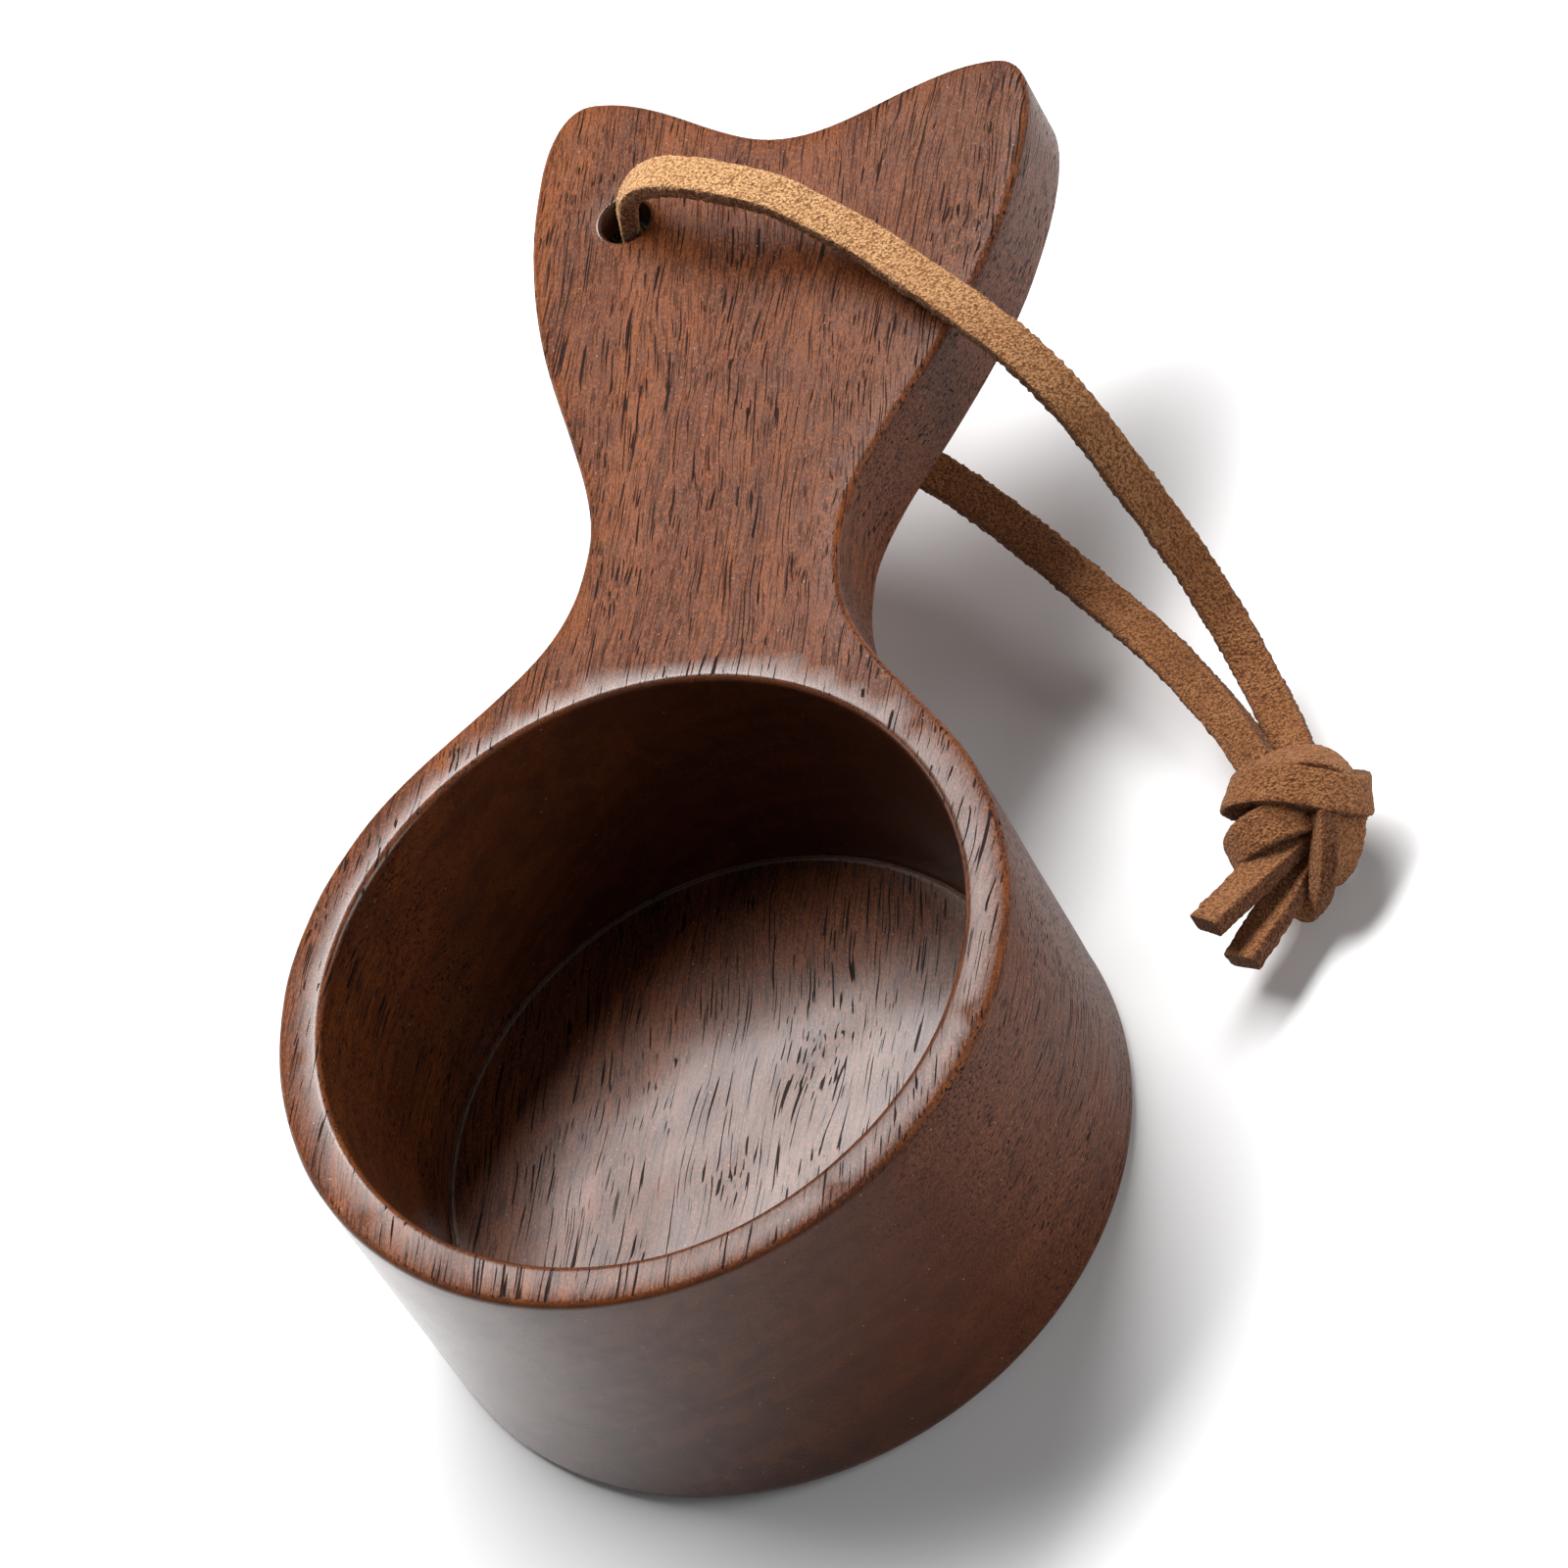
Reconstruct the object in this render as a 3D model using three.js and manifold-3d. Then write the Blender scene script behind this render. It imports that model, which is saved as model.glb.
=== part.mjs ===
// A kuksa: a wooden drinking cup carved with its handle from one block of walnut,
// and a suede lace looped through the handle's hanging hole and tied in one overhand knot.
// Millimetres. +Z is up along the cup's axis, +Y runs along the handle,
// and the origin is the centre of the base, on the surface that the cup stands on.
import * as THREE from 'three';
import { mergeVertices } from 'three/addons/utils/BufferGeometryUtils.js';
import Module from 'manifold-3d';

const wasm = await Module();
wasm.setup();

// Driving dimensions of the cup
const cupHeight = 39;
const cupRadius = 38;
const baseRounding = 2;
const bowlMouthRadius = 33.4;
const bowlFloorRadius = 32.4;
const bowlFloorHeight = 8.2;
const edgeRounding = 0.8;
const turnSteps = 96;

// Driving dimensions of the handle, a flat plate flush with the cup's rim
const handleThickness = 11;
const neckHalfWidth = 13.7;
const neckY = 50.5;
const tailHalfWidth = 26.9;
const tailWidestY = 98.5;
const tailTipX = 22.2;
const tailTipY = 108;
const notchY = 100.8;
const outlineSteps = 14;

// Driving dimensions of the hanging hole and the lace
const hole = new THREE.Vector2(-16.2, 92);
const holeRadius = 2.75;
const laceWidth = 4.2;
const laceThickness = 2;
const touchingGap = 0.3;

// The knot is about twice as wide as the doubled lace
const knotCentre = new THREE.Vector3(53.1, 31.5, 6.7);
const knotHalfSize = new THREE.Vector3(7.3, 8.6, 5.6);
const knotTurn = THREE.MathUtils.degToRad(15);

// Route of the lace's upper run: up out of the hole, over the handle, down to the knot
const upperRoute = [
  [-16.2, 92, 33.7], [-16.2, 92, 37.8], [-14.5, 92.4, 42], [-12, 92, 44.9],
  [-8.9, 91.2, 46.4], [-5.5, 90.3, 46.8], [-1.5, 89.3, 46.4], [3, 88.1, 45.4],
  [7.6, 86, 44.1], [13, 82.9, 42.8], [19.1, 78.4, 41.8], [25.2, 73.7, 40.9],
  [30.4, 69.7, 38.8], [34.2, 66.6, 34.8], [36.3, 64.7, 30.2], [38, 63.1, 25.2],
  [39.7, 61.5, 20.3], [41.5, 59.5, 15.9], [43.3, 57, 12.2], [45.2, 54, 9.2],
  [47.2, 50.4, 7.1], [49.5, 46.2, 5.9], [51.5, 42.1, 5.5], [52.6, 38.6, 5.5],
];

// Route of the lower run: down out of the hole, under the handle, up over the other run
const lowerRoute = [
  [-16.2, 92, 33.3], [-16.2, 92, 29.5], [-16, 91.9, 25.4], [-14.5, 91.1, 21.2],
  [-11, 89.2, 17.8], [-5.4, 86.2, 15.4], [1.3, 82.2, 13.6], [8.4, 77.6, 12.2],
  [15.1, 72.9, 11.1], [21.2, 68, 10.3], [27.1, 62.8, 9.6], [32.7, 57.7, 9.1],
  [37.9, 52.7, 8.7], [42, 48.1, 8.4], [45.8, 43.5, 8.3], [49.2, 38.4, 8.2],
];

// The two cut ends leave the far side of the knot, nearly level and one above the other
const firstEndRoute = [[54.2, 31, 7.7], [52, 27.4, 7.8], [49.5, 23.6, 8.2], [46.8, 19.4, 8.7]];
const secondEndRoute = [[54.1, 28.6, 5.5], [53, 24.8, 5.2], [51.6, 21, 5.1], [50, 17.2, 5.1]];

// A lace lies flat: its wide side stays level and square to its run.
class FlatLaceCurve extends THREE.CatmullRomCurve3 {
  computeFrenetFrames(steps) {
    const up = new THREE.Vector3(0, 0, 1);
    const steepest = 0.25;
    const tangents = [];
    const normals = [];
    const binormals = [];
    for (let i = 0; i <= steps; i += 1) {
      tangents.push(this.getTangentAt(i / steps));
    }
    let across = new THREE.Vector3();
    for (let i = steps; i >= 0; i -= 1) {
      const level = new THREE.Vector3().crossVectors(tangents[i], up);
      if (level.length() > steepest) {
        across = level.normalize();
      }
      normals[i] = across.clone();
      binormals[i] = new THREE.Vector3().crossVectors(tangents[i], across).normalize();
    }
    return { tangents, normals, binormals };
  }
}

function toManifold(geometry) {
  const bare = geometry.index ? geometry.toNonIndexed() : geometry.clone();
  bare.deleteAttribute('normal');
  bare.deleteAttribute('uv');
  const merged = mergeVertices(bare, 1e-4);
  return new wasm.Manifold(new wasm.Mesh({
    numProp: 3,
    vertProperties: new Float32Array(merged.attributes.position.array),
    triVerts: new Uint32Array(merged.index.array),
  }));
}

function toGeometry(manifold) {
  const mesh = manifold.getMesh();
  const geometry = new THREE.BufferGeometry();
  geometry.setAttribute('position', new THREE.BufferAttribute(mesh.vertProperties, 3));
  geometry.setIndex(new THREE.BufferAttribute(mesh.triVerts, 1));
  geometry.computeVertexNormals();
  return geometry;
}

// Turns a profile drawn as radius and height about the cup's own axis
function turned(profile) {
  const geometry = new THREE.LatheGeometry(profile.getPoints(6), turnSteps);
  return geometry.rotateX(Math.PI / 2);
}

function cupBlank() {
  const profile = new THREE.Path();
  const blankTop = cupHeight - handleThickness / 2;
  profile.moveTo(0, 0);
  profile.lineTo(cupRadius - baseRounding, 0);
  profile.absarc(cupRadius - baseRounding, baseRounding, baseRounding, -Math.PI / 2, 0);
  profile.lineTo(cupRadius, blankTop);
  profile.lineTo(0, blankTop);
  return turned(profile);
}

function bowlHollow() {
  const profile = new THREE.Path();
  const above = cupHeight + edgeRounding;
  const lip = bowlMouthRadius + edgeRounding;
  profile.moveTo(0, bowlFloorHeight);
  profile.lineTo(bowlFloorRadius, bowlFloorHeight);
  profile.lineTo(bowlMouthRadius, cupHeight - edgeRounding);
  profile.absarc(lip, cupHeight - edgeRounding, edgeRounding, Math.PI, Math.PI / 2, true);
  profile.lineTo(lip, above);
  profile.lineTo(0, above);
  return turned(profile);
}

// Half of the plate's outline, from the cup's flank to the notch between the tail's tips
function tailCurves() {
  const flankAngle = THREE.MathUtils.degToRad(41.25);
  const flank = new THREE.Vector2(Math.cos(flankAngle), Math.sin(flankAngle)).multiplyScalar(cupRadius);
  const leaving = new THREE.Vector2(-Math.sin(flankAngle), Math.cos(flankAngle)).multiplyScalar(14);
  const point = (x, y) => new THREE.Vector2(x, y);
  return [
    new THREE.CubicBezierCurve(
      flank, flank.clone().add(leaving), point(neckHalfWidth, neckY - 12), point(neckHalfWidth, neckY)),
    new THREE.CubicBezierCurve(
      point(neckHalfWidth, neckY), point(neckHalfWidth, neckY + 11.5),
      point(tailHalfWidth, tailWidestY - 24), point(tailHalfWidth, tailWidestY)),
    new THREE.CubicBezierCurve(
      point(tailHalfWidth, tailWidestY), point(tailHalfWidth, tailWidestY + 5),
      point(tailTipX + 3.6, tailTipY), point(tailTipX, tailTipY)),
    new THREE.CubicBezierCurve(
      point(tailTipX, tailTipY), point(tailTipX - 8.2, tailTipY), point(7.5, notchY), point(0, notchY)),
  ];
}

function plateOutline() {
  const rightSide = [];
  for (const curve of tailCurves()) {
    rightSide.push(...curve.getPoints(outlineSteps).slice(0, -1));
  }
  const leftSide = rightSide.map((p) => new THREE.Vector2(-p.x, p.y)).reverse();
  const notch = new THREE.Vector2(0, notchY);
  const rim = [];
  const flankStep = 11;
  for (let i = turnSteps / 2 + 1 - flankStep; i < turnSteps + flankStep; i += 1) {
    const angle = (i * 2 * Math.PI) / turnSteps;
    rim.push(new THREE.Vector2(Math.cos(angle), Math.sin(angle)).multiplyScalar(cupRadius));
  }
  return new THREE.Shape([...rightSide, notch, ...leftSide, ...rim]);
}

function handlePlate() {
  const geometry = new THREE.ExtrudeGeometry(plateOutline(), {
    depth: handleThickness - 2 * edgeRounding,
    bevelThickness: edgeRounding,
    bevelSize: edgeRounding,
    bevelOffset: -edgeRounding,
    bevelSegments: 3,
  });
  return geometry.translate(0, 0, cupHeight - handleThickness + edgeRounding);
}

function hangingHole() {
  const geometry = new THREE.CylinderGeometry(holeRadius, holeRadius, 3 * handleThickness, 32);
  return geometry.rotateX(Math.PI / 2).translate(hole.x, hole.y, cupHeight);
}

function cupSolid() {
  const wood = toManifold(cupBlank()).add(toManifold(handlePlate()));
  return wood.subtract(toManifold(bowlHollow())).subtract(toManifold(hangingHole()));
}

function knotShape(grow) {
  const geometry = new THREE.SphereGeometry(1, 24, 14);
  geometry.scale(knotHalfSize.x + grow, knotHalfSize.y + grow, knotHalfSize.z + grow);
  geometry.rotateZ(knotTurn);
  return geometry.translate(knotCentre.x, knotCentre.y, knotCentre.z);
}

// The lace's section is a flat strip with its corners worn off
function laceSection() {
  const x = laceWidth / 2;
  const y = laceThickness / 2;
  const worn = 0.4;
  return new THREE.Shape([
    new THREE.Vector2(x, y - worn), new THREE.Vector2(x - worn, y),
    new THREE.Vector2(worn - x, y), new THREE.Vector2(-x, y - worn),
    new THREE.Vector2(-x, worn - y), new THREE.Vector2(worn - x, -y),
    new THREE.Vector2(x - worn, -y), new THREE.Vector2(x, worn - y),
  ]);
}

// A run of lace along its route, ending just short of the knot
function laceRun(route) {
  const curve = new FlatLaceCurve(route.map((p) => new THREE.Vector3(...p)), false, 'centripetal');
  const stepLength = 1.2 * laceWidth;
  const steps = Math.max(4, Math.round(curve.getLength() / stepLength));
  const strip = new THREE.ExtrudeGeometry(laceSection(), { steps, extrudePath: curve });
  return toManifold(strip).subtract(toManifold(knotShape(touchingGap)));
}

function walnut() {
  return new THREE.MeshStandardMaterial({ color: 0x5a3526, roughness: 0.42, metalness: 0 });
}

function suede() {
  return new THREE.MeshStandardMaterial({ color: 0x9c6f43, roughness: 0.95, metalness: 0 });
}

function addPiece(group, name, geometry, material) {
  const mesh = new THREE.Mesh(geometry, material);
  mesh.name = name;
  group.add(mesh);
}

const kuksa = new THREE.Group();
addPiece(kuksa, 'cup_and_handle', toGeometry(cupSolid()), walnut());
addPiece(kuksa, 'lace_upper_run', toGeometry(laceRun(upperRoute)), suede());
addPiece(kuksa, 'lace_lower_run', toGeometry(laceRun(lowerRoute)), suede());
addPiece(kuksa, 'lace_knot', knotShape(0), suede());
addPiece(kuksa, 'lace_first_end', toGeometry(laceRun(firstEndRoute)), suede());
addPiece(kuksa, 'lace_second_end', toGeometry(laceRun(secondEndRoute)), suede());

export default kuksa;
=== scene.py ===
import math

import bmesh
import bpy
import numpy as np
from mathutils import Euler, Matrix, Vector, noise
from mathutils.geometry import delaunay_2d_cdt


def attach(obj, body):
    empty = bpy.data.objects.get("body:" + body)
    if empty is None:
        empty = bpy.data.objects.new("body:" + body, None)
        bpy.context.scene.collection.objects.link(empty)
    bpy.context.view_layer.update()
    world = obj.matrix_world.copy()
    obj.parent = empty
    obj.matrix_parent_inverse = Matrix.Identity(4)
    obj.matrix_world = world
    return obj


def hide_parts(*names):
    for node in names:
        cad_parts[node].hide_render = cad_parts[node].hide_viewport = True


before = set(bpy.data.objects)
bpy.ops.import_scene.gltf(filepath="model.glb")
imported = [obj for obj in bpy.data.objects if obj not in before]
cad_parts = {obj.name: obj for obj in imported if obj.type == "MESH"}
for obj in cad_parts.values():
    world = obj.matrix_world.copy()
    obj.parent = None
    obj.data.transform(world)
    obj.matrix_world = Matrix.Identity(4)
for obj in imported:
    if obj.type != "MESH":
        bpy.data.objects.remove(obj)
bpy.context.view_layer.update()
mm = 0.001

# A kuksa turned and sawn from one block of walnut, with its suede lace.
# Metres in the scene, millimetres in the dictionaries and in the shape code.


# The camera

shot = {
    "aim": (10.82, 22.00, 36.00),
    "distance": 870.0,
    "azimuth": 34.57,      # degrees round the cup, 0 looks along the handle
    "elevation": 49.98,
    "roll": -32.58,
    "lens": 203.7,
    "sensor": 36,
    "nearClip": 0.05,      # metres
    "farClip": 20,
}


def setUpCamera():
    azimuth, elevation, roll = (math.radians(shot[k]) for k in ("azimuth", "elevation", "roll"))
    back = Vector((
        math.sin(azimuth) * math.cos(elevation),
        -math.cos(azimuth) * math.cos(elevation),
        math.sin(elevation),
    ))
    levelRight = Vector((math.cos(azimuth), math.sin(azimuth), 0))
    levelUp = back.cross(levelRight)
    right = levelRight * math.cos(roll) + levelUp * math.sin(roll)
    up = back.cross(right)
    camera = bpy.data.objects.new("camera", bpy.data.cameras.new("camera"))
    camera.data.lens = shot["lens"]
    camera.data.sensor_width = shot["sensor"]
    camera.data.clip_start = shot["nearClip"]
    camera.data.clip_end = shot["farClip"]
    place = Matrix((right, up, back)).transposed().to_4x4()
    place.translation = (Vector(shot["aim"]) + back * shot["distance"]) * mm
    camera.matrix_world = place
    bpy.context.collection.objects.link(camera)
    bpy.context.scene.camera = camera


# Nodes for the finishes

class Wire:                            # a socket that can stand in a sum
    def __init__(self, finish, socket):
        self.finish = finish
        self.socket = socket

    def worked(self, operation, first, second):
        return self.finish.node("ShaderNodeMath", {"operation": operation}, {0: first, 1: second})

    def __add__(self, other):
        return self.worked("ADD", self, other)

    __radd__ = __add__

    def __sub__(self, other):
        return self.worked("SUBTRACT", self, other)

    def __rsub__(self, other):
        return self.worked("SUBTRACT", other, self)

    def __mul__(self, other):
        return self.worked("MULTIPLY", self, other)

    __rmul__ = __mul__

    def __pow__(self, other):
        return self.worked("POWER", self, other)

    def __rpow__(self, other):
        return self.worked("POWER", other, self)


def allWays(scale):                    # the same scale along every axis
    return (scale, scale, scale)


class Finish:
    def __init__(self, name):
        self.material = bpy.data.materials.new(name)
        self.material.use_nodes = True
        self.tree = self.material.node_tree
        self.tree.nodes.clear()

    def node(self, kind, settings=None, values=None, out=0):
        made = self.tree.nodes.new(kind)
        for key, value in (settings or {}).items():
            setattr(made, key, value)
        for key, value in (values or {}).items():
            self.feed(made.inputs[key], value)
        return Wire(self, made.outputs[out]) if made.outputs else None

    def feed(self, socket, value):
        if isinstance(value, Wire):
            self.tree.links.new(value.socket, socket)
        elif socket.type == "RGBA":
            socket.default_value = (*value, 1)
        else:
            socket.default_value = value

    def place(self):                   # where a point of the piece is, in millimetres
        spot = self.node("ShaderNodeTexCoord", out=3)
        return self.scaled(spot, allWays(1 / mm))

    def scaled(self, vector, by):
        return self.node("ShaderNodeVectorMath", {"operation": "MULTIPLY"}, {0: vector, 1: by})

    def shifted(self, vector, by):
        return self.node("ShaderNodeVectorMath", {"operation": "ADD"}, {0: vector, 1: by})

    def part(self, vector, which):
        return self.node("ShaderNodeSeparateXYZ", None, {0: vector}, out="XYZ".index(which))

    def mixed(self, share, first, second, blend="MIX"):
        settings = {"data_type": "RGBA", "blend_type": blend, "clamp_factor": True}
        return self.node("ShaderNodeMix", settings, {0: share, 6: first, 7: second}, out=2)

    def ranged(self, value, low, high):    # 0 at low, 1 at high, smooth between
        values = {"Value": value, "From Min": low, "From Max": high}
        return self.node("ShaderNodeMapRange", {"interpolation_type": "SMOOTHSTEP"}, values)

    def limited(self, value):          # kept between 0 and 1
        return self.node("ShaderNodeClamp", None, {"Value": value, "Min": 0.0, "Max": 1.0})

    def cloudy(self, vector, detail=2.0, rough=0.5, out=0):
        values = {"Vector": vector, "Scale": 1.0, "Detail": detail, "Roughness": rough}
        return self.node("ShaderNodeTexNoise", {"noise_dimensions": "3D"}, values, out)

    def cells(self, vector, out=0):
        values = {"Vector": vector, "Scale": 1.0}
        return self.node("ShaderNodeTexVoronoi", {"voronoi_dimensions": "3D"}, values, out)

    def marked(self, name):            # a number painted on the points of the mesh
        return self.node("ShaderNodeAttribute", {"attribute_name": name}, out=2)

    def bumped(self, height, strength, deep):
        return self.node("ShaderNodeBump", None, {"Height": height, "Strength": strength, "Distance": deep})

    def done(self, **values):
        named = {key.replace("_", " "): value for key, value in values.items()}
        shader = self.node("ShaderNodeBsdfPrincipled", None, named)
        self.node("ShaderNodeOutputMaterial", None, {0: shader})
        return self.material


# The suede lace

lace = {
    "width": 4.2,
    "thickness": 2.0,
    "corner": 0.38,
    "station": 0.32,       # spacing of the cuts along a run
    "faceSteps": 12,       # points across the wide side, and down the cut edge
    "edgeSteps": 5,
    "napFuzz": 0.07,
    "edgeFuzz": 0.22,
    "fuzzScale": 2.3,
    "fineFuzzScale": 5.1,
    "fineFuzzShare": 0.6,
    "edgeCalm": 0.7,       # how much less the fuzz lifts a cut edge off its face
    "slowWave": 0.12,
    "waveScale": 0.33,
    "cornerCut": 0.55,     # how much of a rounded corner looks cut
    "endInset": 0.95,      # the cut end is a little smaller than the strip
    "endBulge": 0.05,
    "twistFrom": 0.72,     # share of a run where it starts to turn on its edge
    "lowerTwist": -0.45,
    "face": (0.55, 0.270, 0.108),
    "faceLight": (0.84, 0.510, 0.250),
    "faceDark": (0.27, 0.112, 0.040),
    "pit": (0.15, 0.052, 0.018),
    "cut": (0.19, 0.078, 0.035),
    "cutLight": (0.58, 0.31, 0.155),
    "paintedShadeTan": (0.41, 0.29, 0.23),     # painted shade: the tan darkened on the parts of the lace that lie in shade
    "paintedShadeFrom": 0.20,               # share of the upper run where that starts
    "paintedShadeTo": 0.70,
    "patchScale": 0.22,
    "napScale": 3.1,
    "fibreScale": 5.6,
    "grainScale": 3.3,
    "roughness": 0.95,
    "gloss": 0.12,
    "sheen": 0.15,
    "sheenRoughness": 0.6,
    "sheenTint": (0.9, 0.7, 0.5),
    "napDepth": 0.0009,    # metres
}

# Up out of the hole, over the handle, down to the knot
upperRoute = [
    (-16.2, 92, 33.7), (-16.2, 92, 37.8), (-14.5, 92.4, 42), (-12, 92, 44.9),
    (-8.9, 91.2, 46.4), (-5.5, 90.3, 46.8), (-1.5, 89.3, 46.4), (3, 88.1, 45.4),
    (7.6, 86, 44.1), (13, 82.9, 42.8), (19.1, 78.4, 41.8), (25.2, 73.7, 40.9),
    (30.4, 69.7, 38.8), (34.2, 66.6, 34.8), (36.3, 64.7, 30.2), (38, 63.1, 25.2),
    (39.7, 61.5, 20.3), (41.5, 59.5, 15.9), (43.3, 57, 12.2), (45.2, 54, 9.2),
    (47.2, 50.4, 7.1), (49.5, 46.2, 5.9), (51.5, 42.1, 5.5), (52.6, 38.6, 5.5),
]

# Down out of the hole, under the handle, up over the other run
lowerRoute = [
    (-16.2, 92, 33.3), (-16.2, 92, 29.5), (-16, 91.9, 25.4), (-14.5, 91.1, 21.2),
    (-11, 89.2, 17.8), (-5.4, 86.2, 15.4), (1.3, 82.2, 13.6), (8.4, 77.6, 12.2),
    (15.1, 72.9, 11.1), (21.2, 68, 10.3), (27.1, 62.8, 9.6), (32.7, 57.7, 9.1),
    (37.9, 52.7, 8.7), (42, 48.1, 8.4), (45.8, 43.5, 8.3), (49.2, 38.4, 8.2),
]

# The knot's own axes: along the band, towards the loop, and out of its top
knot = {
    "centre": (53.1, 31.5, 6.7),
    "across": (0.928, 0.139, -0.346),
    "towardsLoop": (0.077, 0.837, 0.542),
    "outward": (0.365, -0.530, 0.766),
    "coreSize": (4.9, 6.2, 3.3),
    "coreShift": (0.2, 0.2, -0.4),
    "coreCutAndShade": 0.7,        # the core, standing for the inner turns, is mostly as dark as a cut edge, which also paints the shade in the gaps
    "tableGap": 0.15,
    "lean": 0.10,          # the turns below the band sit further left, the lowest most
    "leanFrom": 1.0,       # how far towards the loop the lean starts
}

# Each strand: place (three numbers) and facing (three numbers) in the knot's axes
knotStrands = {
    "band": [
        (-1.5, 3.4, -4.6, 0, 0.1, -1), (-4.4, 3.1, -3.8, -0.6, 0.25, -0.6),
        (-5.7, 3.2, -1.7, -0.94, 0.4, 0.05), (-5.2, 3.9, 0.6, -0.75, 0.45, 0.5),
        (-2.9, 4.4, 2.5, -0.3, 0.45, 0.9), (0.4, 4.3, 3.5, 0.0, 0.35, 1),
        (3.6, 3.7, 3.6, 0.2, 0.25, 1), (5.9, 3.4, 2.5, 0.6, 0.2, 0.75),
        (6.8, 3.6, 0.8, 0.95, 0.1, 0.2), (6.4, 4.0, -1.5, 0.85, 0.0, -0.5),
        (3.6, 3.9, -4.2, 0.3, 0, -1), (0.0, 4.3, -5.0, 0, 0, -1),
    ],
    "leftEntry": [
        (-3.4, 6.65, -4.3, -0.35, 0.54, 0.77), (-2.6, 5.3, -2.9, -0.33, 0.6, 0.77),
        (-1.6, 3.8, -1.2, -0.3, 0.6, 0.77), (-0.8, 2.4, 0.2, -0.3, 0.6, 0.77),
    ],
    "fold": [
        (-3.2, 5.9, -2.0, -0.5, 0.8, 0.2), (-0.6, 6.7, -0.1, -0.1, 0.9, 0.5),
        (2.2, 6.9, 0.7, 0.2, 0.9, 0.5), (4.5, 5.8, 0.4, 0.6, 0.75, 0.3),
        (5.9, 4.1, -1.0, 0.9, 0.4, 0.0), (5.8, 2.2, -3.0, 0.8, 0, -0.6),
    ],
    "leftLobe": [
        (1.6, 1.9, 2.2, 0.2, 0.3, 1), (-0.8, 1.3, 3.0, -0.1, 0.2, 1),
        (-3.2, 0.2, 2.8, -0.4, 0.1, 0.9), (-4.8, -1.4, 1.3, -0.85, -0.1, 0.5),
        (-4.9, -2.9, -0.6, -0.9, -0.4, 0), (-3.6, -3.8, -2.0, -0.5, -0.5, -0.7),
    ],
    "rightStrand": [
        (4.5, 2.6, 2.6, 0.5, 0.2, 0.85), (5.0, 0.2, 2.8, 0.6, 0, 0.8),
        (4.9, -2.2, 2.1, 0.7, -0.2, 0.7), (3.9, -4.5, 0.7, 0.6, -0.6, 0.5),
        (2.2, -5.5, -1.0, 0.2, -0.8, -0.5),
    ],
    "middleStrand": [
        (2.3, 2.2, 2.8, -0.9, 0, 0.35), (2.7, -0.4, 3.4, -0.9, 0, 0.35),
        (2.9, -3.0, 3.3, -0.9, -0.1, 0.35), (2.5, -5.6, 2.5, -0.8, -0.4, 0.4),
        (1.1, -7.3, 1.2, -0.3, -0.8, 0.5), (-0.6, -7.2, -0.4, 0.3, -0.9, -0.3),
    ],
}

firstEnd = [
    (0.6, 0.0, 1.4, -0.28, 0.6, 0.75), (-2.0, -2.9, 2.6, -0.4, 0.6, 0.7),
    (-4.9, -6.1, 4.0, -0.55, 0.6, 0.6), (-8.0, -9.3, 5.6, -0.62, 0.6, 0.55),
]
secondEnd = [
    (0.9, -3.0, 1.0, -0.4, 0.5, 0.75), (-0.4, -6.4, 2.4, -0.5, 0.5, 0.7),
    (-2.2, -9.7, 3.8, -0.58, 0.5, 0.64), (-4.0, -12.9, 5.2, -0.62, 0.5, 0.6),
]


def smoothLine(points, step):          # centripetal Catmull-Rom, then even steps
    fineStep = 0.05
    p = [np.array(q, float) for q in points]
    p = [2 * p[0] - p[1], *p, 2 * p[-1] - p[-2]]
    fine = []
    for a, b, c, d in zip(p, p[1:], p[2:], p[3:]):
        gapA, gapB, gapC = (np.linalg.norm((n - m)[:3]) ** 0.5 for m, n in ((a, b), (b, c), (c, d)))
        leave = ((b - a) / gapA - (c - a) / (gapA + gapB) + (c - b) / gapB) * gapB
        reach = ((c - b) / gapB - (d - b) / (gapB + gapC) + (d - c) / gapC) * gapB
        for t in np.arange(0, 1, fineStep):
            fine.append(b * (1 + 2 * t) * (1 - t) ** 2 + leave * t * (1 - t) ** 2
                        + c * t * t * (3 - 2 * t) - reach * t * t * (1 - t))
    fine.append(p[-2])
    fine = np.array(fine)
    along = np.concatenate([[0], np.cumsum(np.linalg.norm(np.diff(fine[:, :3], axis=0), axis=1))])
    at = np.linspace(0, along[-1], max(4, round(along[-1] / step)) + 1)
    return np.stack([np.interp(at, along, column) for column in fine.T], axis=1)


def unit(vectors):
    return vectors / np.linalg.norm(vectors, axis=-1, keepdims=True)


def runsOf(line):                      # which way the line goes at each point
    return unit(np.gradient(line, axis=0))


def levelAcross(line):                 # the wide side stays level and square to the run
    steepest = 0.25                    # where the run is nearly upright it keeps its neighbour's side
    turnWidth = 9
    across = np.cross(runsOf(line), (0, 0, 1))
    for i in range(len(across) - 2, -1, -1):
        if np.linalg.norm(across[i]) < steepest:
            across[i] = across[i + 1]
        across[i] /= np.linalg.norm(across[i])
    across[-1] /= np.linalg.norm(across[-1])
    return eased(across, turnWidth)


def eased(rows, width):                # a running mean, so that a turn is gradual
    padded = np.pad(rows, ((width // 2, width // 2), (0, 0)), mode="edge")
    kernel = np.ones(width) / width
    return unit(np.stack([np.convolve(column, kernel, "valid") for column in padded.T], axis=1))


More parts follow.
